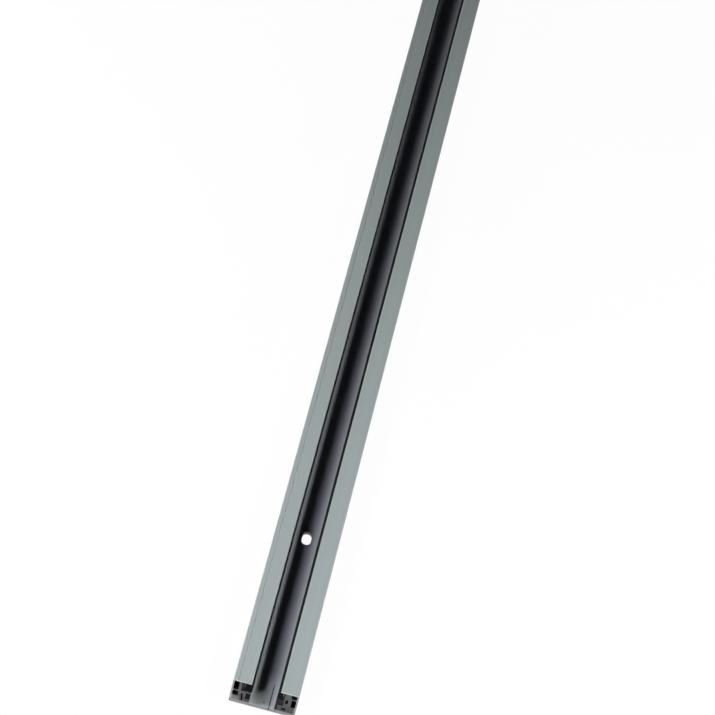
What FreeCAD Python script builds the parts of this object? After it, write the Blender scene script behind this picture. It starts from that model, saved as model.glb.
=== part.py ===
import FreeCAD, Part
import os
import Sketcher

# Single-circuit surface lighting track, lying on its back with the slot up.
# X runs along the track, Y across it, Z up from the back. Millimetres.

doc = FreeCAD.newDocument("lighting_track")
sheet = doc.addObject("Spreadsheet::Sheet", "sizes")

sizes = {
    # Extrusion
    "track_length": 1000.0,
    "track_width": 35.0,
    "track_height": 19.0,
    "floor_thick": 2.0,
    "flange_thick": 0.9,
    "wall_thick": 0.9,
    "back_round": 0.9,
    "flange_round": 0.5,
    "nose_round": 0.3,
    "cell_round": 0.4,
    # Left side: insulator pocket, shelf, lug recess, ledge and its hollow cells
    "left_mouth": 7.7,
    "left_nose": 7.0,
    "left_pocket": 12.5,
    "shelf_top": 11.1,
    "shelf_thick": 1.2,
    "recess_back": 9.6,
    "ledge_top": 4.9,
    "rib_thick": 1.4,
    "low_cell_near": 13.6,
    "low_cell_floor": 6.2,
    "low_cell_top": 9.0,
    "lean_inner": 10.6,
    "lean_floor": 2.8,
    "lean_width": 0.9,
    "lean_shift": 1.3,
    # Right side: tall shallow pocket over a solid ledge, and its hollow cells
    "right_mouth": 8.35,
    "right_pocket": 10.4,
    "right_face": 7.6,
    "right_ledge_top": 7.4,
    "inner_cell_near": 11.2,
    "inner_cell_far": 13.1,
    "inner_cell_floor": 9.4,
    "right_cell_top": 13.3,
    "outer_cell_near": 14.3,
    "outer_cell_floor": 7.4,
    "top_cell_near": 12.4,
    "top_cell_floor": 15.7,
    "foot_cell_near": 9.9,
    "foot_cell_far": 12.1,
    "foot_cell_floor": 3.4,
    "foot_cell_top": 5.2,
    # Cuts
    "fixing_inset": 115.0,
    "fixing_length": 8.8,
    "fixing_width": 5.1,
    "line_inset": 2.7,
    "line_width": 0.7,
    "line_depth": 0.3,
    "slit_offset": 3.6,
    "slit_width": 0.5,
    "slit_length": 15.5,
    "slit_depth": 0.9,
    "mark_inset": 3.2,
    "mark_offset": 0.55,
    "mark_radius": 0.8,
    "mark_depth": 0.6,
    # Insulators
    "insulator_setback": 0.4,
    "insulator_arm": 0.75,
    "left_back": 1.5,
    "left_lip": 1.1,
    "right_back": 0.8,
    "right_lip": 1.7,
    "skirt_gap": 0.1,
    "lip_round": 0.3,
    # Conductors
    "strip_setback": 0.8,
    "strip_thick": 0.8,
    "strip_seat": 0.4,
    "strip_lift": 0.9,
    "strip_height": 2.4,
    "strip_round": 0.25,
}

for row, (name, number) in enumerate(sizes.items(), start=1):
    sheet.set("A%d" % row, name)
    sheet.set("B%d" % row, str(number))
    sheet.setAlias("B%d" % row, name)
doc.recompute()


# A number together with the sheet expression that gives it
class Size:
    def __init__(self, number, text):
        self.number = number
        self.text = text

    def __add__(self, other):
        return Size(self.number + other.number, "(%s + %s)" % (self.text, other.text))

    def __sub__(self, other):
        return Size(self.number - other.number, "(%s - %s)" % (self.text, other.text))

    def __mul__(self, factor):
        return Size(self.number * factor, "(%s * %s)" % (self.text, factor))

    def __neg__(self):
        return self * -1


def size(name):
    return Size(sizes[name], "sizes." + name)


def newBody(label):
    body = doc.addObject("PartDesign::Body", label)
    body.Label = label
    return body


def plane(body, role):
    return [item for item in body.Origin.OriginFeatures if item.Role == role][0]


# Sketch on one of the body's own planes, moved sideways in it or lifted off it where that is asked for
def newSketch(body, role, name, sideways=None, lift=None):
    sketch = body.newObject("Sketcher::SketchObject", name)
    sketch.AttachmentSupport = [(plane(body, role), "")]
    sketch.MapMode = "FlatFace"
    if sideways:
        sketch.setExpression("AttachmentOffset.Base.x", sideways.text)
    if lift:
        sketch.setExpression("AttachmentOffset.Base.z", lift.text)
    return sketch


# Give a sketch one dimension that follows the sheet
def dimension(sketch, constraint, place):
    index = sketch.addConstraint(constraint)
    sketch.setExpression("Constraints[%d]" % index, place.text)


# Hold one coordinate of a sketch point at a size from the sketch's origin
def hold(sketch, kind, line, point, place):
    if place.number == 0:
        axis = -2 if kind == "DistanceX" else -1
        sketch.addConstraint(Sketcher.Constraint("PointOnObject", line, point, axis))
    else:
        dimension(sketch, Sketcher.Constraint(kind, -1, 1, line, point, place.number), place)


# Closed outline of straight lines. A corner that shares a coordinate with the one before it is
# held by a vertical or horizontal line, and any other coordinate by a dimension of its own.
def outline(sketch, corners):
    first = sketch.GeometryCount
    total = len(corners)
    spots = [FreeCAD.Vector(across.number, up.number, 0) for across, up in corners]
    for start, end in zip(spots, spots[1:] + spots[:1]):
        sketch.addGeometry(Part.LineSegment(start, end), False)
    for index in range(total):
        after = first + (index + 1) % total
        sketch.addConstraint(Sketcher.Constraint("Coincident", first + index, 2, after, 1))
    for index, (across, up) in enumerate(corners):
        before = corners[index - 1] if index else (None, None)
        if before[0] is across:
            sketch.addConstraint(Sketcher.Constraint("Vertical", first + index - 1))
        else:
            hold(sketch, "DistanceX", first + index, 1, across)
        if before[1] is up:
            sketch.addConstraint(Sketcher.Constraint("Horizontal", first + index - 1))
        else:
            hold(sketch, "DistanceY", first + index, 1, up)


quarterTurn = 1.5707963267948966


def arc(sketch, across, up, radius, start, end):
    centre = FreeCAD.Vector(across.number, up.number, 0)
    ring = Part.Circle(centre, FreeCAD.Vector(0, 0, 1), radius.number)
    index = sketch.addGeometry(Part.ArcOfCircle(ring, start, end), False)
    hold(sketch, "DistanceX", index, 3, across)
    hold(sketch, "DistanceY", index, 3, up)
    dimension(sketch, Sketcher.Constraint("Radius", index, radius.number), radius)
    return index


# Round-ended slot along the sketch's first axis
def roundSlot(sketch, across, up, length, width):
    radius = width * 0.5
    reach = (length - width) * 0.5
    low = arc(sketch, across - reach, up, radius, quarterTurn, 3 * quarterTurn)
    high = arc(sketch, across + reach, up, radius, -quarterTurn, quarterTurn)
    for lowEnd, highEnd, edge in ((1, 2, up + radius), (2, 1, up - radius)):
        start = FreeCAD.Vector((across - reach).number, edge.number, 0)
        end = FreeCAD.Vector((across + reach).number, edge.number, 0)
        side = sketch.addGeometry(Part.LineSegment(start, end), False)
        sketch.addConstraint(Sketcher.Constraint("Tangent", low, lowEnd, side, 1))
        sketch.addConstraint(Sketcher.Constraint("Tangent", high, highEnd, side, 2))


def extrude(body, sketch, name, length):
    pad = body.newObject("PartDesign::Pad", name)
    pad.Profile = sketch
    pad.SideType = "Symmetric"
    pad.Length = length.number
    pad.setExpression("Length", length.text)
    doc.recompute()
    return pad


def cut(body, sketch, name, depth=None):
    pocket = body.newObject("PartDesign::Pocket", name)
    pocket.Profile = sketch
    if depth:
        pocket.Length = depth.number
        pocket.setExpression("Length", depth.text)
    else:
        pocket.Type = "ThroughAll"
        pocket.SideType = "Symmetric"
    doc.recompute()
    return pocket


# Cut turned about the sketch's own upright axis
def turnedCut(body, sketch, name):
    groove = body.newObject("PartDesign::Groove", name)
    groove.Profile = sketch
    groove.ReferenceAxis = (sketch, ["V_Axis"])
    groove.Angle = 360
    doc.recompute()
    return groove


def mirror(body, features, role, name):
    copy = body.newObject("PartDesign::Mirrored", name)
    copy.Originals = features
    copy.MirrorPlane = (plane(body, role), [""])
    body.Tip = copy
    doc.recompute()
    return copy


# Round the straight edges along X that pass through the given places of the section
def roundEdges(body, base, places, radius, name):
    chosen = []
    for index, edge in enumerate(base.Shape.Edges, start=1):
        middle = edge.CenterOfMass
        along = abs(edge.BoundBox.XLength - edge.Length) < 0.001
        near = [1 for across, up in places
                if abs(middle.y - across.number) < 0.01 and abs(middle.z - up.number) < 0.01]
        if along and near:
            chosen.append("Edge%d" % index)
    fillet = body.newObject("PartDesign::Fillet", name)
    fillet.Base = (base, chosen)
    fillet.Radius = radius.number
    fillet.setExpression("Radius", radius.text)
    body.Tip = fillet
    doc.recompute()
    return fillet


zero = Size(0.0, "0")
halfLength = size("track_length") * 0.5
halfWidth = size("track_width") * 0.5
rightWall = -halfWidth
top = size("track_height")
flangeUnder = top - size("flange_thick")
floorTop = size("floor_thick")
wallInside = halfWidth - size("wall_thick")

leftMouth = size("left_mouth")
leftNose = size("left_nose")
leftPocket = size("left_pocket")
shelfTop = size("shelf_top")
shelfUnder = shelfTop - size("shelf_thick")
recessBack = size("recess_back")
ledgeTop = size("ledge_top")

rightMouth = -size("right_mouth")
rightPocket = -size("right_pocket")
rightFace = -size("right_face")
rightLedge = size("right_ledge_top")

# Aluminium extrusion, drawn round from the back: left flange, pocket, shelf, recess and ledge, then
# the floor, then the right ledge, pocket and flange
track = newBody("track_body")
section = newSketch(track, "YZ_Plane", "section")
outline(section, [
    (rightWall, zero), (halfWidth, zero), (halfWidth, top), (leftMouth, top), (leftMouth, flangeUnder),
    (leftPocket, flangeUnder), (leftPocket, shelfTop), (leftNose, shelfTop), (leftNose, shelfUnder),
    (recessBack, shelfUnder), (recessBack, ledgeTop), (leftNose, ledgeTop), (leftNose, floorTop),
    (rightFace, floorTop), (rightFace, rightLedge), (rightPocket, rightLedge), (rightPocket, flangeUnder),
    (rightMouth, flangeUnder), (rightMouth, top), (rightWall, top)])


def cell(near, far, low, high):
    return [(near, low), (far, low), (far, high), (near, high)]


# Hollow cells of the left side: upper and lower outer ones, and a leaning one beside the recess
ribOutside = leftPocket + size("rib_thick")
leanInner = size("lean_inner")
leanOuter = leanInner + size("lean_width")
leanFloor = size("lean_floor")
leanTop = size("low_cell_top")
leftCells = [
    cell(ribOutside, wallInside, shelfTop, flangeUnder),
    cell(size("low_cell_near"), wallInside, size("low_cell_floor"), leanTop),
    [(leanInner, leanFloor), (leanOuter, leanFloor), (leanOuter + size("lean_shift"), leanTop),
     (leanInner + size("lean_shift"), leanTop)]]

# Hollow cells of the right side: behind the pocket, in the outer wall, under the flange and in the foot
cellTop = size("right_cell_top")
rightInside = -wallInside
rightCells = [
    cell(-size("inner_cell_near"), -size("inner_cell_far"), size("inner_cell_floor"), cellTop),
    cell(-size("outer_cell_near"), rightInside, size("outer_cell_floor"), cellTop),
    cell(-size("top_cell_near"), rightInside, size("top_cell_floor"), flangeUnder),
    cell(-size("foot_cell_near"), -size("foot_cell_far"), size("foot_cell_floor"), size("foot_cell_top"))]

for corners in leftCells + rightCells:
    outline(section, corners)
whole = extrude(track, section, "extrusion", size("track_length"))
whole = roundEdges(track, whole, [(halfWidth, zero), (rightWall, zero)], size("back_round"), "back_edges")
flangeEdges = [(halfWidth, top), (leftMouth, top), (rightMouth, top), (rightWall, top)]
whole = roundEdges(track, whole, flangeEdges, size("flange_round"), "flange_edges")
cellCorners = [corner for corners in leftCells + rightCells for corner in corners]
whole = roundEdges(track, whole, cellCorners, size("cell_round"), "cell_corners")
noses = [(leftNose, shelfUnder), (leftNose, ledgeTop)]
whole = roundEdges(track, whole, noses, size("nose_round"), "nose_edges")

# Polarity line along the left flange
lineAt = halfWidth - size("line_inset")
lineHalf = size("line_width") * 0.5
line = newSketch(track, "YZ_Plane", "polarity_sketch")
outline(line, [(lineAt - lineHalf, top), (lineAt, top - size("line_depth")), (lineAt + lineHalf, top)])
cut(track, line, "polarity_line")

# Fixing slots through the floor, one near each end
fixing = newSketch(track, "XY_Plane", "fixing_sketch")
roundSlot(fixing, size("fixing_inset") - halfLength, zero, size("fixing_length"), size("fixing_width"))
fixingCut = cut(track, fixing, "fixing_slot")
mirror(track, [fixingCut], "YZ_Plane", "fixing_slots")

# Narrow slit and centre mark on the floor at each end
slitNear = size("slit_width") * 0.5 - size("slit_offset")
slitFar = -(size("slit_offset") + size("slit_width") * 0.5)
slitEnd = size("slit_length") - halfLength
trackEnd = -halfLength
slit = newSketch(track, "XY_Plane", "slit_sketch", lift=floorTop)
outline(slit, [(trackEnd, slitFar), (slitEnd, slitFar), (slitEnd, slitNear), (trackEnd, slitNear)])
slitCut = cut(track, slit, "end_slit", size("slit_depth"))
markIn = size("mark_inset") - halfLength
mark = newSketch(track, "XZ_Plane", "mark_sketch", sideways=markIn, lift=size("mark_offset"))
outline(mark, [(zero, floorTop), (zero, floorTop - size("mark_depth")), (size("mark_radius"), floorTop)])
markCut = turnedCut(track, mark, "centre_mark")
mirror(track, [slitCut, markCut], "YZ_Plane", "end_marks")

# Left insulator: a groove that faces the slot between two arms, with a seat for the strip in its back
arm = size("insulator_arm")
grooveLow = shelfTop + arm
grooveHigh = flangeUnder - arm
stripLow = grooveLow + size("strip_lift")
stripHigh = stripLow + size("strip_height")
insulatorLength = size("track_length") - size("insulator_setback") * 2
stripLength = size("track_length") - size("strip_setback") * 2

left = newBody("insulator_left")
leftTip = leftMouth - size("left_lip")
leftGroove = leftPocket - size("left_back")
leftSeat = leftGroove + size("strip_seat")
leftSection = newSketch(left, "YZ_Plane", "left_section")
outline(leftSection, [
    (leftTip, shelfTop), (leftPocket, shelfTop), (leftPocket, flangeUnder), (leftTip, flangeUnder),
    (leftTip, grooveHigh), (leftGroove, grooveHigh), (leftGroove, stripHigh), (leftSeat, stripHigh),
    (leftSeat, stripLow), (leftGroove, stripLow), (leftGroove, grooveLow), (leftTip, grooveLow)])
leftPad = extrude(left, leftSection, "left_insulator", insulatorLength)
leftLips = [(leftTip, shelfTop), (leftTip, grooveLow), (leftTip, grooveHigh), (leftTip, flangeUnder)]
roundEdges(left, leftPad, leftLips, size("lip_round"), "left_lips")

# Right insulator: the same groove over a solid foot, and a skirt in front of the ledge down to the floor
right = newBody("insulator_right")
rightTip = rightMouth + size("right_lip")
rightGroove = rightPocket + size("right_back")
rightSeat = rightGroove - size("strip_seat")
skirtLow = floorTop + size("skirt_gap")
rightSection = newSketch(right, "YZ_Plane", "right_section")
outline(rightSection, [
    (rightFace, rightLedge), (rightPocket, rightLedge), (rightPocket, flangeUnder), (rightTip, flangeUnder),
    (rightTip, grooveHigh), (rightGroove, grooveHigh), (rightGroove, stripHigh), (rightSeat, stripHigh),
    (rightSeat, stripLow), (rightGroove, stripLow), (rightGroove, grooveLow), (rightTip, grooveLow),
    (rightTip, skirtLow), (rightFace, skirtLow)])
rightPad = extrude(right, rightSection, "right_insulator", insulatorLength)
rightLips = [(rightTip, skirtLow), (rightTip, grooveLow), (rightTip, grooveHigh), (rightTip, flangeUnder)]
roundEdges(right, rightPad, rightLips, size("lip_round"), "right_lips")

# Conductor strips in the seats
stripThick = size("strip_thick")
strips = (("conductor_neutral", leftSeat - stripThick, leftSeat),
          ("conductor_line", rightSeat + stripThick, rightSeat))
for label, front, back in strips:
    strip = newBody(label)
    stripSection = newSketch(strip, "YZ_Plane", label + "_section")
    outline(stripSection, [(front, stripLow), (back, stripLow), (back, stripHigh), (front, stripHigh)])
    stripPad = extrude(strip, stripSection, label + "_strip", stripLength)
    stripEdges = [(front, stripLow), (front, stripHigh)]
    roundEdges(strip, stripPad, stripEdges, size("strip_round"), label + "_edges")

doc.recompute()

# Check every object, then write one file for each piece
os.makedirs("parts", exist_ok=True)
for item in doc.Objects:
    if "Invalid" in item.State or "Error" in item.State:
        raise RuntimeError("%s did not build: %s" % (item.Name, item.State))
for body in doc.findObjects("PartDesign::Body"):
    if body.Shape.isNull() or not body.Shape.isValid() or len(body.Shape.Solids) != 1:
        raise RuntimeError("%s is not one sound solid" % body.Label)
    body.Shape.exportStep("parts/%s.step" % body.Label)
    print(body.Label, round(body.Shape.Volume, 1), "mm3", body.Shape.BoundBox)
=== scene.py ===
import math
import bpy
from mathutils import Matrix, Vector


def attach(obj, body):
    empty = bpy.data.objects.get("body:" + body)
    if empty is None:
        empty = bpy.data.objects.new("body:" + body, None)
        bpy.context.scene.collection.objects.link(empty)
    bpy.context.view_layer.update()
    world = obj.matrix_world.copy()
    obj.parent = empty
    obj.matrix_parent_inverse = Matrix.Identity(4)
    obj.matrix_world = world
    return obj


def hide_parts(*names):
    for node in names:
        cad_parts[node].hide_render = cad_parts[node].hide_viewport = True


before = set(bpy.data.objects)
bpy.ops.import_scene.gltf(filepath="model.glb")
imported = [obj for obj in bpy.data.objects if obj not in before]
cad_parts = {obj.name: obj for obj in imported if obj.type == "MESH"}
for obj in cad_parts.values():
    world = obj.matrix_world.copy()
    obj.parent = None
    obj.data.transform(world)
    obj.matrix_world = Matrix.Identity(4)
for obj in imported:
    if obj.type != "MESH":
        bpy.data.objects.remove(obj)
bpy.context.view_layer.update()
print("frame loaded:", ", ".join(sorted(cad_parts)))

mm = 0.001
white = (1.0, 1.0, 1.0, 1.0)


# One output socket of a node tree; expressions on it add Math nodes
class Wire:
    def __init__(self, tree, socket=None):
        self.tree = tree
        self.socket = socket

    # any node: type, settings first, then the values or links of its sockets
    def node(self, kind, settings=None, inputs=None, out=0):
        made = self.tree.nodes.new(kind)
        for name, value in (settings or {}).items():
            setattr(made, name, value)
        for name, value in (inputs or {}).items():
            for one in value if isinstance(value, list) else [value]:
                if isinstance(one, Wire):
                    self.tree.links.new(one.socket, made.inputs[name])
                else:
                    made.inputs[name].default_value = one
        return Wire(self.tree, made.outputs[out] if made.outputs else None)

    # another output of the same node
    def also(self, out):
        return Wire(self.tree, self.socket.node.outputs[out])

    def maths(self, operation, first, second=0.0):
        return self.node("ShaderNodeMath", {"operation": operation}, {0: first, 1: second})

    def __add__(self, other):
        return self.maths("ADD", self, other)

    def __radd__(self, other):
        return self.maths("ADD", other, self)

    def __sub__(self, other):
        return self.maths("SUBTRACT", self, other)

    def __rsub__(self, other):
        return self.maths("SUBTRACT", other, self)

    def __mul__(self, other):
        return self.maths("MULTIPLY", self, other)

    def __rmul__(self, other):
        return self.maths("MULTIPLY", other, self)

    def __gt__(self, other):
        return self.maths("GREATER_THAN", self, other)

    def __lt__(self, other):
        return self.maths("LESS_THAN", self, other)

    def __abs__(self):
        return self.maths("ABSOLUTE", self)

    # 0 to 1 as the value goes from low to high
    def rise(self, low, high):
        return self.node("ShaderNodeMapRange", {"interpolation_type": "SMOOTHSTEP"},
                         {"Value": self, "From Min": low, "From Max": high})

    # colour between two others, by this value; a Mix node's colours are its sockets 6 and 7
    def tint(self, low, high):
        low, high = [one if isinstance(one, Wire) else (*one, 1.0) for one in (low, high)]
        return self.node("ShaderNodeMix", {"data_type": "RGBA"}, {0: self, 6: low, 7: high}, out=2)

    # normals bent by this height
    def bump(self, s):
        return self.node("ShaderNodeBump", inputs={
            "Strength": s["bumpStrength"], "Distance": s["bumpDepth"], "Height": self})

    # noise read at this place, with its own scale along each axis
    def noise(self, scale, detail=3.0, rough=0.55):
        spread = self.node("ShaderNodeVectorMath", {"operation": "MULTIPLY"}, {0: self, 1: scale})
        return self.node("ShaderNodeTexNoise", {"noise_dimensions": "3D"},
                         {"Vector": spread, "Scale": 1.0, "Detail": detail, "Roughness": rough})


# Empty material: where its maths starts, and what joins the results to its shader
def newFinish(name):
    material = bpy.data.materials.new(name)
    material.use_nodes = True
    tree = material.node_tree
    shader = tree.nodes["Principled BSDF"]
    place = Wire(tree).node("ShaderNodeTexCoord", out="Object")

    def join(values):
        for socket, value in values.items():
            if isinstance(value, Wire):
                tree.links.new(value.socket, shader.inputs[socket])
            else:
                shader.inputs[socket].default_value = value
        return material

    return place, join


# Finishes. Lengths are in metres, and pattern scales per metre: along, across and up the track.
# A pair of lengths says where a soft change starts and where it ends
aluminium = {
    "dark": (0.302, 0.344, 0.340),
    "pale": (0.372, 0.418, 0.411),
    "wearAndHighlight": (0.520, 0.545, 0.535),
    "slotDark": (0.466, 0.512, 0.535),
    "slotPale": (0.575, 0.621, 0.647),
    "slotEndTone": (0.72, 0.76, 0.775),
    "innerShade": (0.020, 0.021, 0.023),
    "recessShade": (0.020, 0.021, 0.024),
    "lineDark": (0.170, 0.195, 0.196),
    "sawDark": (0.040, 0.044, 0.048),
    "sawPale": (0.52, 0.525, 0.525),
    "flangeEndHighlight": (0.62, 0.63, 0.63),
    "dieLines": (1.6, 700.0, 700.0),
    "fineLines": (9.0, 3100.0, 3100.0),
    "grain": (4200.0, 5200.0, 5200.0),
    "hands": (11.0, 26.0, 26.0),
    "metallic": 0.22,
    "roughness": 0.40,
    "bumpStrength": 0.35,
    "bumpDepth": 0.00002,
    # the flanges' rounded edges, and the polarity line
    "outerEdge": (0.01695, 0.01735),
    "mouthEdge": (0.00785, 0.00825),
    "rim": (0.01845, 0.01885),
    "edgeWearAndLightAmount": 0.55,
    "lineAt": 0.0148,
    "lineSoft": (0.0002, 0.0008),
    "lineLow": 0.0184,
    "lineShade": 0.24,
    # the slot's floor, what is sunk in it, and the walls behind the slot
    "slotHalf": 0.008,
    "slotLow": 0.001,
    "slotHigh": 0.003,
    "slotEnds": (0.488, 0.498),
    "slotEndAmount": 0.6,
    "sunkHigh": 0.00197,
    "marksFrom": -0.002,
    "slitShade": 0.85,
    "markShade": 0.45,
    "innerNear": 0.0069,
    "innerFar": 0.0171,
    "innerLow": 0.0022,
    "innerHigh": 0.01845,
    # the saw cut ends
    "cutFace": 0.49998,
    "bladeCentre": (0.075, -0.060),
    "bladePitch": 5200.0,
    "baseTop": (0.0018, 0.0032),
    "baseLit": 0.6,
    "cornerTop": (0.0045, 0.0065),
    "cornerFrom": (0.0115, 0.0135),
    "cornerPale": 0.3,
    "outerWall": (0.0160, 0.0168),
    "wallPale": 0.6,
    "upperWebs": (0.005, 0.011),
    "flangeEnd": (0.0178, 0.0182),
    "skirtShadeAt": -0.0070,
    "skirtShadeSoft": (0.0003, 0.0007),
    "skirtShadeLow": (0.0008, 0.0014),
    "skirtShadeHigh": 0.0022,
    "skirtShadeAmount": 0.85,
}


def aluminiumFinish(s):
    place, join = newFinish("satinAluminium")
    along = place.node("ShaderNodeSeparateXYZ", inputs={0: place})
    across, up = along.also("Y"), along.also("Z")
    dieLines = place.noise(s["dieLines"], 4.0)
    fineLines = place.noise(s["fineLines"], 2.0)
    grain = place.noise(s["grain"], 2.0)
    hands = place.noise(s["hands"], 4.0, 0.6)
    tone = dieLines * 0.55 + fineLines * 0.3 + grain * 0.3 - 0.075
    # rounded outer and mouth edges are set lighter: partly wear from handling, partly a painted highlight
    # that keeps the rounding from reading dark
    edges = abs(across).rise(*s["outerEdge"]) + 1 - abs(across).rise(*s["mouthEdge"])
    edgeWearAndLight = edges * up.rise(*s["rim"]) * (0.25 + 0.75 * hands.rise(0.38, 0.62)) * s["edgeWearAndLightAmount"]
    # the slot's floor is shielded from handling, so it stays brighter, and it is set lighter still within
    # about a centimetre of each end
    inSlot = (abs(across) < s["slotHalf"]) * (up > s["slotLow"])
    floorTone = tone.tint(s["slotDark"], s["slotPale"])
    floorTone = (abs(along).rise(*s["slotEnds"]) * s["slotEndAmount"]).tint(floorTone, s["slotEndTone"])
    plain = (inSlot * (up < s["slotHigh"])).tint(tone.tint(s["dark"], s["pale"]), floorTone)
    # painted shade: the slits are painted dark, the centre marks about half as much, and the inner walls of
    # the pockets, cells and recesses near black, for the shade that falls in them
    sunkShade = s["slitShade"] + (s["markShade"] - s["slitShade"]) * (across > s["marksFrom"])
    sunk = inSlot * (up < s["sunkHigh"]) * sunkShade
    inner = (abs(across) > s["innerNear"]) * (abs(across) < s["innerFar"])
    inner = inner * (up > s["innerLow"]) * (up < s["innerHigh"])
    plain = inner.tint(sunk.tint(plain, s["recessShade"]), s["innerShade"])
    # painted shade: the polarity line's groove is painted darker
    line = (1 - abs(across - s["lineAt"]).rise(*s["lineSoft"])) * (up > s["lineLow"])
    body = (line * s["lineShade"]).tint(edgeWearAndLight.tint(plain, s["wearAndHighlight"]), s["lineDark"])
    # saw cut ends: bare metal with the blade's arcs
    bare = abs(along) > s["cutFace"]
    offAcross, offUp = across - s["bladeCentre"][0], up - s["bladeCentre"][1]
    reach = place.maths("SQRT", offAcross * offAcross + offUp * offUp)
    arcs = place.maths("SINE", reach * s["bladePitch"] + grain * 3.0) * 0.5 + 0.5
    # painted light on the cut ends: a painted highlight along the flanges' end edges, and the base painted
    # lighter as if lit by the bright floor below; the corner low on the left side and the outer walls are
    # set lighter than the webs
    aboveBase = up.rise(*s["baseTop"])
    corner = (1 - up.rise(*s["cornerTop"])) * across.rise(*s["cornerFrom"])
    paler = s["cornerPale"] * corner + s["wallPale"] * abs(across).rise(*s["outerWall"])
    cutTone = (arcs * 0.7 + grain * 0.3) * (0.12 + 0.2 * up.rise(*s["upperWebs"]))
    cutTone = cutTone + aboveBase * paler + s["baseLit"] * (1 - aboveBase)
    cutColour = cutTone.tint(s["sawDark"], s["sawPale"])
    cutColour = up.rise(*s["flangeEnd"]).tint(cutColour, s["flangeEndHighlight"])
    # painted shade under the right insulator's skirt, on the cut end
    skirtShade = (1 - abs(across - s["skirtShadeAt"]).rise(*s["skirtShadeSoft"])) * up.rise(*s["skirtShadeLow"])
    cutColour = ((up < s["skirtShadeHigh"]) * skirtShade * s["skirtShadeAmount"]).tint(cutColour, s["sawDark"])
    colour = bare.tint(body, cutColour)
    rough = s["roughness"] + 0.12 * dieLines + 0.10 * hands - 0.08 * edgeWearAndLight + 0.08 * bare
    relief = (dieLines * 0.5 + fineLines * 0.25 + grain * 0.25) * (1 - bare) + bare * arcs
    return join({"Base Color": colour, "Roughness": rough, "Metallic": s["metallic"],
                 "Normal": relief.bump(s)})


plastic = {
    "dark": (0.006, 0.0073, 0.0078),
    "pale": (0.0125, 0.0147, 0.0155),
    "dust": (0.040, 0.0435, 0.0445),
    "drawLines": (2.0, 1900.0, 1900.0),
    "grain": (2600.0, 3800.0, 3800.0),
    "marks": (14.0, 240.0, 240.0),
    "dustAmount": 0.35,
    "shine": 0.2,
    "roughness": 0.42,
    "bumpStrength": 0.3,
    "bumpDepth": 0.00002,
}


def plasticFinish(s):
    place, join = newFinish("blackPlastic")
    drawLines = place.noise(s["drawLines"], 3.0)
    grain = place.noise(s["grain"], 2.0)
    marks = place.noise(s["marks"], 4.0, 0.65)
    tone = drawLines * 0.7 + grain * 0.3
    dusty = marks.rise(0.55, 0.78) * s["dustAmount"]
    colour = dusty.tint(tone.tint(s["dark"], s["pale"]), s["dust"])
    rough = s["roughness"] + 0.14 * drawLines + 0.12 * dusty
    return join({"Base Color": colour, "Roughness": rough, "Specular IOR Level": s["shine"],
                 "Normal": tone.bump(s)})


tinned = {
    "dull": (0.26, 0.245, 0.225),
    "bright": (0.44, 0.425, 0.40),
    "cut": (0.030, 0.029, 0.028),
    "drawLines": (1.4, 2400.0, 2400.0),
    "spots": (60.0, 900.0, 900.0),
    "cutFace": 0.49918,
    "metallic": 0.9,
    "roughness": 0.26,
    "bumpStrength": 0.3,
    "bumpDepth": 0.00001,
}


def tinnedFinish(s):
    place, join = newFinish("tinnedCopper")
    along = place.node("ShaderNodeSeparateXYZ", inputs={0: place})
    drawLines = place.noise(s["drawLines"], 3.0)
    spots = place.noise(s["spots"], 3.0, 0.6)
    tone = drawLines * 0.75 + spots * 0.25
    bare = abs(along) > s["cutFace"]
    # the strips' cut ends, set back in their pockets, are painted near black: painted shade
    colour = bare.tint(tone.tint(s["dull"], s["bright"]), s["cut"])
    rough = s["roughness"] + 0.16 * drawLines + 0.1 * spots
    return join({"Base Color": colour, "Roughness": rough, "Metallic": s["metallic"],
                 "Normal": drawLines.bump(s)})


finishes = {
    "aluminium": aluminiumFinish(aluminium),
    "insulator": plasticFinish(plastic),
    "conductor": tinnedFinish(tinned),
}
print("finishes made:", ", ".join(finishes))


# Sections in millimetres: loops of corners (across, up, rounding)
extrusion = {
    "length": 1000.0,
    "halfWidth": 17.5,
    "height": 19.0,
    "floorTop": 2.0,
    "flangeUnder": 18.1,
    "backRound": 0.9,
    "flangeRound": 0.5,
    "noseRound": 0.3,
    "cellRound": 0.4,
    # left side: insulator pocket, shelf, lug recess and ledge
    "leftMouth": 7.7,
    "leftNose": 7.0,
    "leftPocket": 12.5,
    "shelfTop": 11.1,
    "shelfUnder": 9.9,
    "recessBack": 9.6,
    "ledgeTop": 4.9,
    # right side: tall pocket over a solid ledge
    "rightMouth": -7.75,
    "rightPocket": -10.4,
    "rightFace": -7.6,
    "rightLedge": 7.4,
    # hollow cells: near, far, low, high
    "cells": ((13.9, 16.6, 11.0, 18.1), (13.6, 16.6, 6.3, 10.0), (-11.0, -12.5, 9.6, 13.1),
              (-14.2, -16.6, 7.8, 14.0), (-13.6, -16.6, 15.0, 18.1), (-9.9, -12.1, 3.9, 5.7)),
    # the leaning cell, beside the lug recess
    "leanInner": 10.5,
    "leanWidth": 0.9,
    "leanShift": 0.7,
    "leanFloor": 2.8,
    "leanTop": 9.0,
    # polarity line on the left flange, and the cuts at each end
    "lineAt": 14.8,
    "lineHalf": 0.35,
    "lineDepth": 0.3,
    "fixingInset": 115.0,
    "fixingLength": 8.8,
    "fixingWidth": 5.1,
    "slitAcross": -3.6,
    "slitWidth": 0.5,
    "slitLength": 15.5,
    "slitDepth": 0.9,
    "markInset": 3.2,
    "markAcross": -0.55,
    "markRadius": 0.8,
    "markDepth": 0.6,
}


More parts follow.
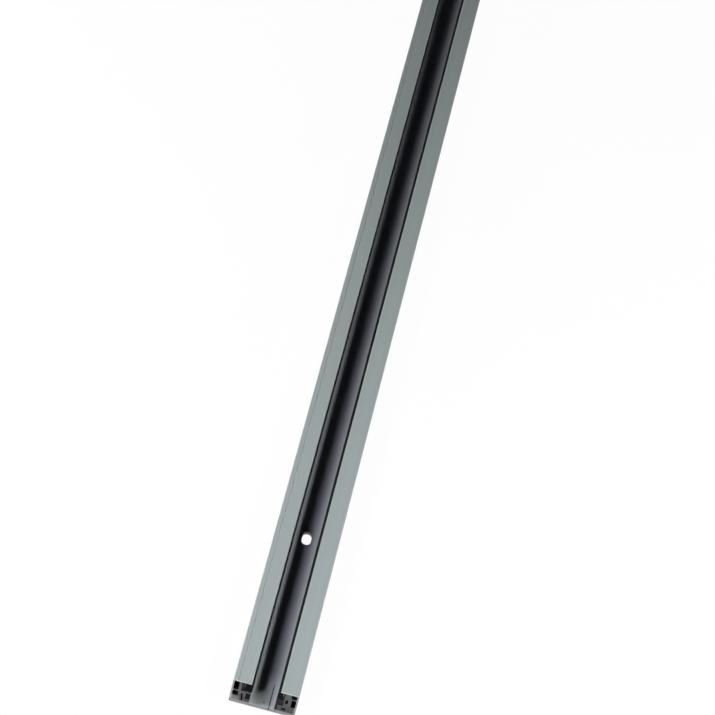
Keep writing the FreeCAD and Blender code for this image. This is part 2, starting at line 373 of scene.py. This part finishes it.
# Loops of the track's section, drawn round from the back, with its hollow cells
def trackLoops(s):
    outline = [
        (-s["halfWidth"], 0.0, s["backRound"]), (s["halfWidth"], 0.0, s["backRound"]),
        (s["halfWidth"], s["height"], s["flangeRound"]), (s["lineAt"] + s["lineHalf"], s["height"], 0.0),
        (s["lineAt"], s["height"] - s["lineDepth"], 0.0), (s["lineAt"] - s["lineHalf"], s["height"], 0.0),
        (s["leftMouth"], s["height"], s["flangeRound"]), (s["leftMouth"], s["flangeUnder"], 0.0),
        (s["leftPocket"], s["flangeUnder"], 0.0), (s["leftPocket"], s["shelfTop"], 0.0),
        (s["leftNose"], s["shelfTop"], 0.0), (s["leftNose"], s["shelfUnder"], s["noseRound"]),
        (s["recessBack"], s["shelfUnder"], 0.0), (s["recessBack"], s["ledgeTop"], 0.0),
        (s["leftNose"], s["ledgeTop"], s["noseRound"]), (s["leftNose"], s["floorTop"], 0.0),
        (s["rightFace"], s["floorTop"], 0.0), (s["rightFace"], s["rightLedge"], 0.0),
        (s["rightPocket"], s["rightLedge"], 0.0), (s["rightPocket"], s["flangeUnder"], 0.0),
        (s["rightMouth"], s["flangeUnder"], 0.0), (s["rightMouth"], s["height"], s["flangeRound"]),
        (-s["halfWidth"], s["height"], s["flangeRound"])]
    cells = [[(near, low), (far, low), (far, high), (near, high)] for near, far, low, high in s["cells"]]
    inner, outer, shift = s["leanInner"], s["leanInner"] + s["leanWidth"], s["leanShift"]
    cells.append([(inner, s["leanFloor"]), (outer, s["leanFloor"]),
                  (outer + shift, s["leanTop"]), (inner + shift, s["leanTop"])])
    return [outline] + [[(across, up, s["cellRound"]) for across, up in cell] for cell in cells]


insulator = {
    "length": 999.2,
    "flangeUnder": 18.1,
    "grooveLow": 11.85,
    "grooveHigh": 17.35,
    "stripLow": 12.75,
    "stripHigh": 15.15,
    "lipRound": 0.3,
    # left one, in the pocket over the shelf
    "leftTip": 6.6,
    "leftPocket": 12.5,
    "leftGroove": 11.0,
    "leftSeat": 11.4,
    "shelfTop": 11.1,
    # right one, with a foot on the ledge and a skirt down to the floor
    "rightTip": -6.35,
    "rightPocket": -10.4,
    "rightGroove": -9.6,
    "rightSeat": -10.0,
    "rightFace": -7.6,
    "rightLedge": 7.4,
    "skirtLow": 2.1,
}


# Loop of one insulator: the groove and the strip's seat, then what stands below them
def insulatorLoops(s, side, below):
    lip, tip, groove, seat = s["lipRound"], s[side + "Tip"], s[side + "Groove"], s[side + "Seat"]
    upper = [
        (s[side + "Pocket"], s["flangeUnder"], 0.0), (tip, s["flangeUnder"], lip),
        (tip, s["grooveHigh"], lip), (groove, s["grooveHigh"], 0.0),
        (groove, s["stripHigh"], 0.0), (seat, s["stripHigh"], 0.0),
        (seat, s["stripLow"], 0.0), (groove, s["stripLow"], 0.0),
        (groove, s["grooveLow"], 0.0), (tip, s["grooveLow"], lip)]
    return [upper + below]


leftBelow = [
    (insulator["leftTip"], insulator["shelfTop"], insulator["lipRound"]),
    (insulator["leftPocket"], insulator["shelfTop"], 0.0)]
rightBelow = [
    (insulator["rightTip"], insulator["skirtLow"], insulator["lipRound"]),
    (insulator["rightFace"], insulator["skirtLow"], 0.0),
    (insulator["rightFace"], insulator["rightLedge"], 0.0),
    (insulator["rightPocket"], insulator["rightLedge"], 0.0)]

strip = {
    "length": 998.4,
    "low": 12.75,
    "high": 15.15,
    "round": 0.25,
    "leftFront": 10.6,
    "leftBack": 11.4,
    "rightFront": -9.2,
    "rightBack": -10.0,
}


def stripLoops(s, side):
    front, back = s[side + "Front"], s[side + "Back"]
    return [[(front, s["low"], s["round"]), (back, s["low"], 0.0), (back, s["high"], 0.0),
             (front, s["high"], s["round"])]]


# How finely the shapes are drawn; lengths in millimetres
drawing = {
    "roundSteps": 6,
    "sharpAngle": math.radians(28),
    "mergeGap": 0.0005,
    "slotSteps": 16,
    "slotRound": 0.4999,  # of the slot's width, a hair under half so that its ends stay two arcs each
    "markSides": 32,
}


# Geometry node tree with named inputs, and the wires that come from them
def newTree(name, inputs):
    tree = bpy.data.node_groups.new(name, "GeometryNodeTree")
    tree.interface.new_socket("Geometry", in_out="INPUT", socket_type="NodeSocketGeometry")
    for title, kind in inputs.items():
        tree.interface.new_socket(title, in_out="INPUT", socket_type=kind)
    tree.interface.new_socket("Geometry", in_out="OUTPUT", socket_type="NodeSocketGeometry")
    given = Wire(tree).node("NodeGroupInput", out="Geometry")
    return given, {title: given.also(title) for title in inputs}


# Flat outline filled, and drawn out by a depth into a closed solid
def drawOut(curve, depth):
    face = curve.node("GeometryNodeFillCurve", {"mode": "NGONS"}, {"Curve": curve})
    push = curve.node("ShaderNodeCombineXYZ", inputs={"Z": depth})
    sides = curve.node("GeometryNodeExtrudeMesh", inputs={"Mesh": face, "Offset": push, "Individual": False})
    base = curve.node("GeometryNodeFlipFaces", inputs={"Mesh": face})
    shell = curve.node("GeometryNodeJoinGeometry", inputs={0: [sides, base]})
    return curve.node("GeometryNodeMergeByDistance", inputs={
        "Geometry": shell, "Distance": drawing["mergeGap"]})


# Solid along X from the loops of a section, in millimetres
def sweep(given, length, steps):
    rounding = given.node("GeometryNodeInputNamedAttribute", {"data_type": "FLOAT"}, {"Name": "rounding"})
    curve = given.node("GeometryNodeMeshToCurve", inputs={"Mesh": given})
    curve = given.node("GeometryNodeFilletCurve", {"mode": "POLY"}, {
        "Curve": curve, "Count": steps * (rounding > 0.0), "Radius": rounding, "Limit Radius": True})
    centre = given.node("ShaderNodeCombineXYZ", inputs={"X": length * -0.5})
    return given.node("GeometryNodeTransform", inputs={
        "Geometry": drawOut(curve, length), "Translation": centre,
        "Rotation": (math.pi / 2, 0.0, math.pi / 2)})


# Last nodes of every tree: metres, edges sharp past an angle, material
def close(solid, sharpAngle, finish):
    solid = solid.node("GeometryNodeTransform", inputs={"Geometry": solid, "Scale": (mm, mm, mm)})
    solid = solid.node("GeometryNodeSetShadeSmooth", {"domain": "FACE"},
                       {"Geometry": solid, "Shade Smooth": True})
    angle = solid.node("GeometryNodeInputMeshEdgeAngle")
    solid = solid.node("GeometryNodeSetShadeSmooth", {"domain": "EDGE"},
                       {"Geometry": solid, "Selection": angle > sharpAngle, "Shade Smooth": False})
    solid = solid.node("GeometryNodeRealizeInstances", inputs={"Geometry": solid})
    solid = solid.node("GeometryNodeSetMaterial", inputs={"Geometry": solid, "Material": finish})
    solid.node("NodeGroupOutput", inputs={"Geometry": solid})


sweepInputs = {"Length": "NodeSocketFloat", "Round Steps": "NodeSocketInt", "Sharp Angle": "NodeSocketFloat",
               "Finish": "NodeSocketMaterial"}


# Plain section drawn along the track, for the insulators and strips
def stripTree():
    given, wires = newTree("drawnStrip", sweepInputs)
    close(sweep(given, wires["Length"], wires["Round Steps"]), wires["Sharp Angle"], wires["Finish"])
    return given.tree


# Inputs for what is cut into the track, and the sizes of the extrusion that they take
trackCuts = {
    "Fixing Inset": "fixingInset",
    "Fixing Length": "fixingLength",
    "Fixing Width": "fixingWidth",
    "Slit Across": "slitAcross",
    "Slit Length": "slitLength",
    "Slit Width": "slitWidth",
    "Slit Depth": "slitDepth",
    "Mark Inset": "markInset",
    "Mark Across": "markAcross",
    "Mark Radius": "markRadius",
    "Mark Depth": "markDepth",
    "Floor Top": "floorTop",
}


# The track: its section drawn out, then slots, slits and centre marks cut at both ends
def trackTree():
    given, wires = newTree("drawnTrack", {**sweepInputs, **dict.fromkeys(trackCuts, "NodeSocketFloat")})
    length, floorTop = wires["Length"], wires["Floor Top"]

    # one cutter at each end of the track, at an inset from it
    def bothEnds(cutter, inset, across, up):
        reach = length * 0.5 - inset
        start = given.node("ShaderNodeCombineXYZ", inputs={"X": 0.0 - reach, "Y": across, "Z": up})
        step = given.node("ShaderNodeCombineXYZ", inputs={"X": reach * 2.0})
        points = given.node("GeometryNodeMeshLine", inputs={
            "Count": 2, "Start Location": start, "Offset": step})
        copies = given.node("GeometryNodeInstanceOnPoints", inputs={"Points": points, "Instance": cutter})
        return given.node("GeometryNodeRealizeInstances", inputs={"Geometry": copies})

    # cutters reach twice as far as they cut, so that they come out of the metal
    slot = given.node("GeometryNodeCurvePrimitiveQuadrilateral", {"mode": "RECTANGLE"},
                      {"Width": wires["Fixing Length"], "Height": wires["Fixing Width"]})
    slot = given.node("GeometryNodeFilletCurve", {"mode": "POLY"}, {
        "Curve": slot, "Count": drawing["slotSteps"], "Radius": wires["Fixing Width"] * drawing["slotRound"],
        "Limit Radius": True})
    slit = given.node("ShaderNodeCombineXYZ", inputs={
        "X": wires["Slit Length"] * 2.0, "Y": wires["Slit Width"], "Z": wires["Slit Depth"] * 2.0})
    slit = given.node("GeometryNodeMeshCube", inputs={"Size": slit})
    mark = given.node("GeometryNodeMeshCone", inputs={
        "Vertices": drawing["markSides"], "Radius Top": wires["Mark Radius"] * 2.0, "Radius Bottom": 0.0,
        "Depth": wires["Mark Depth"] * 2.0})
    cutters = [bothEnds(drawOut(slot, floorTop * 2.0), wires["Fixing Inset"], 0.0, floorTop * -0.5),
               bothEnds(slit, 0.0, wires["Slit Across"], floorTop),
               bothEnds(mark, wires["Mark Inset"], wires["Mark Across"], floorTop - wires["Mark Depth"])]
    solid = given.node("GeometryNodeMeshBoolean", {"operation": "DIFFERENCE", "solver": "EXACT"},
                       {"Mesh 1": sweep(given, length, wires["Round Steps"]), "Mesh 2": cutters})
    close(solid, wires["Sharp Angle"], wires["Finish"])
    return given.tree


# Loops of corners as a mesh of edges, each corner with its rounding
def loopMesh(name, loops):
    spots, edges = [], []
    for loop in loops:
        first = len(spots)
        edges += [(first + index, first + (index + 1) % len(loop)) for index in range(len(loop))]
        spots += loop
    mesh = bpy.data.meshes.new(name)
    mesh.from_pydata([(across, up, 0.0) for across, up, rounding in spots], edges, [])
    mesh.attributes.new("rounding", "FLOAT", "POINT").data.foreach_set("value", [spot[2] for spot in spots])
    return mesh


# Run a tree on loops, keep its plain mesh and tie the piece to the frame
def makePiece(name, loops, tree, values, slotName, node):
    piece = bpy.data.objects.new(name, loopMesh(name, loops))
    bpy.context.scene.collection.objects.link(piece)
    drawn = piece.modifiers.new("drawn", "NODES")
    drawn.node_group = tree
    values = {"Round Steps": drawing["roundSteps"], "Sharp Angle": drawing["sharpAngle"],
              "Finish": finishes[slotName], **values}
    for item in tree.interface.items_tree:
        if item.in_out == "INPUT" and item.name in values:
            drawn[item.identifier] = values[item.name]
    graph = bpy.context.evaluated_depsgraph_get()
    mesh = bpy.data.meshes.new_from_object(piece.evaluated_get(graph))
    piece.modifiers.remove(drawn)
    piece.data = mesh
    mesh.name = name
    even = piece.modifiers.new("evenShading", "WEIGHTED_NORMAL")
    even.keep_sharp = True
    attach(piece, "root")
    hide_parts(node)
    print(name, "has", len(mesh.polygons), "faces")


drawnTrack, drawnStrip = trackTree(), stripTree()
trackSizes = {title: extrusion[size] for title, size in trackCuts.items()}
makePiece("trackExtrusion", trackLoops(extrusion), drawnTrack, {"Length": extrusion["length"], **trackSizes},
          "aluminium", "track_body")
makePiece("leftInsulator", insulatorLoops(insulator, "left", leftBelow), drawnStrip,
          {"Length": insulator["length"]}, "insulator", "insulator_left")
makePiece("rightInsulator", insulatorLoops(insulator, "right", rightBelow), drawnStrip,
          {"Length": insulator["length"]}, "insulator", "insulator_right")
makePiece("neutralStrip", stripLoops(strip, "left"), drawnStrip,
          {"Length": strip["length"]}, "conductor", "conductor_neutral")
makePiece("lineStrip", stripLoops(strip, "right"), drawnStrip,
          {"Length": strip["length"]}, "conductor", "conductor_line")


# Studio: pale floor, dim room that is white at the horizon, soft lamps
studio = {
    "floorHalf": 40.0,
    "floorColour": (0.90, 0.90, 0.90, 1.0),
    "floorGlow": 0.96,
    "room": 0.006,
    "roomColour": (0.88, 0.92, 1.40, 1.0),
    "horizon": (0.132, 0.22),
}


# 1 for the rays that show the background itself
def seen(start):
    ray = start.node("ShaderNodeLightPath", out="Is Camera Ray")
    mirrored = start.maths("MAXIMUM", ray.also("Is Glossy Ray"), ray.also("Is Transmission Ray"))
    return start.maths("MAXIMUM", ray, mirrored)


def makeFloor(s):
    half = s["floorHalf"]
    mesh = bpy.data.meshes.new("floor")
    mesh.from_pydata([(-half, -half, 0.0), (half, -half, 0.0), (half, half, 0.0), (-half, half, 0.0)], [],
                     [(0, 1, 2, 3)])
    floor = bpy.data.objects.new("floor", mesh)
    bpy.context.scene.collection.objects.link(floor)
    material = bpy.data.materials.new("floorPaper")
    material.use_nodes = True
    tree = material.node_tree
    tree.nodes.clear()
    start = Wire(tree)
    paper = start.node("ShaderNodeBsdfDiffuse", inputs={"Color": s["floorColour"]})
    glow = start.node("ShaderNodeEmission", inputs={"Color": white, "Strength": 1.0})
    mixed = start.node("ShaderNodeMixShader", inputs={0: seen(start) * s["floorGlow"], 1: paper, 2: glow})
    start.node("ShaderNodeOutputMaterial", inputs={"Surface": mixed})
    mesh.materials.append(material)


def makeRoom(s):
    world = bpy.data.worlds.new("room")
    world.use_nodes = True
    bpy.context.scene.world = world
    tree = world.node_tree
    tree.nodes.clear()
    start = Wire(tree)
    aim = start.node("ShaderNodeTexCoord", out="Generated")
    height = aim.node("ShaderNodeSeparateXYZ", inputs={0: aim}, out="Z")
    low = 1 - height.rise(*s["horizon"])
    dim = start.node("ShaderNodeBackground", inputs={"Color": s["roomColour"], "Strength": s["room"]})
    pale = start.node("ShaderNodeBackground", inputs={"Color": white, "Strength": 1.0})
    mixed = start.node("ShaderNodeMixShader", inputs={0: seen(start) * low, 1: dim, 2: pale})
    start.node("ShaderNodeOutputWorld", inputs={"Surface": mixed})


# Soft lamps: place, where along the track they face, size along it and across, watts, and for some a
# colour or a narrow beam, which keeps the last one to the far half
lamps = {
    "leftHigh": {"place": (-0.50, 0.1237, 0.292), "faces": -0.50, "size": (0.08, 0.0315), "watts": 0.114,
                 "colour": (1.0, 0.94, 1.10)},
    "leftMiddle": {"place": (-0.50, 0.2627, 0.4947), "faces": -0.50, "size": (0.20, 0.0545), "watts": 0.40,
                   "colour": (1.0, 0.95, 1.08)},
    "leftLow": {"place": (-0.48, 0.3621, 0.5056), "faces": -0.25, "size": (0.20, 0.114), "watts": 1.31},
    "frontLeft": {"place": (-1.42, 0.5909, 0.8195), "faces": -0.30, "size": (0.20, 0.187), "watts": 5.5},
    "rightLow": {"place": (-0.50, -0.2408, 0.3405), "faces": -0.50, "size": (0.30, 0.0363), "watts": 0.90},
    "middleLeft": {"place": (-0.19, 0.478, 0.164), "faces": -0.19, "size": (0.30, 0.12), "watts": 1.35},
    "middleRight": {"place": (-0.19, -0.478, 0.164), "faces": -0.19, "size": (0.30, 0.12), "watts": 1.35},
    "farLeft": {"place": (0.50, 0.478, 0.164), "faces": 0.50, "size": (0.30, 0.12), "watts": 1.01},
    "farRight": {"place": (0.50, -0.478, 0.164), "faces": 0.50, "size": (0.30, 0.12), "watts": 1.01},
    "farHigh": {"place": (0.85, 0.02, 0.55), "faces": 0.40, "size": (0.06, 0.30), "watts": 0.20,
                "beam": math.radians(26)},
}


# Each lamp is turned so that one side keeps to the track's direction and the slot's shadow edge stays even
def makeLamps():
    for name, s in lamps.items():
        data = bpy.data.lights.new(name, "AREA")
        data.shape = "RECTANGLE"
        data.size, data.size_y = s["size"]
        data.energy = s["watts"]
        data.spread = s.get("beam", math.pi)
        data.color = s.get("colour", white[:3])
        lamp = bpy.data.objects.new(name, data)
        back = (Vector(s["place"]) - Vector((s["faces"], 0.0, 0.0))).normalized()
        across = back.cross(Vector((1.0, 0.0, 0.0))).normalized()
        turned = Matrix((across.cross(back), across, back)).transposed().to_4x4()
        lamp.matrix_world = Matrix.Translation(s["place"]) @ turned
        lamp.visible_camera = False
        bpy.context.scene.collection.objects.link(lamp)


# Camera as in the photograph: from above the near end, turned about its own axis
camera = {
    "place": (-1.46190, -0.00116, 1.33776),
    "elevation": math.radians(47.739),
    "turn": math.radians(14.987),
    "lens": 159.98,
    "sensor": 36.0,
    "clip": (0.05, 100.0),
}


def makeCamera(s):
    data = bpy.data.cameras.new("photoCamera")
    data.lens = s["lens"]
    data.sensor_width = s["sensor"]
    data.sensor_fit = "HORIZONTAL"
    data.clip_start, data.clip_end = s["clip"]
    eye = bpy.data.objects.new("photoCamera", data)
    bpy.context.scene.collection.objects.link(eye)
    forward = Vector((math.cos(s["elevation"]), 0.0, -math.sin(s["elevation"])))
    level = Vector((0.0, -1.0, 0.0))
    upright = level.cross(forward)
    right = level * math.cos(s["turn"]) + upright * math.sin(s["turn"])
    above = upright * math.cos(s["turn"]) - level * math.sin(s["turn"])
    turned = Matrix((right, above, -forward)).transposed().to_4x4()
    eye.matrix_world = Matrix.Translation(s["place"]) @ turned
    bpy.context.scene.camera = eye


makeFloor(studio)
makeRoom(studio)
makeLamps()
makeCamera(camera)
bpy.context.scene.view_settings.view_transform = "Standard"
print("studio and camera set")
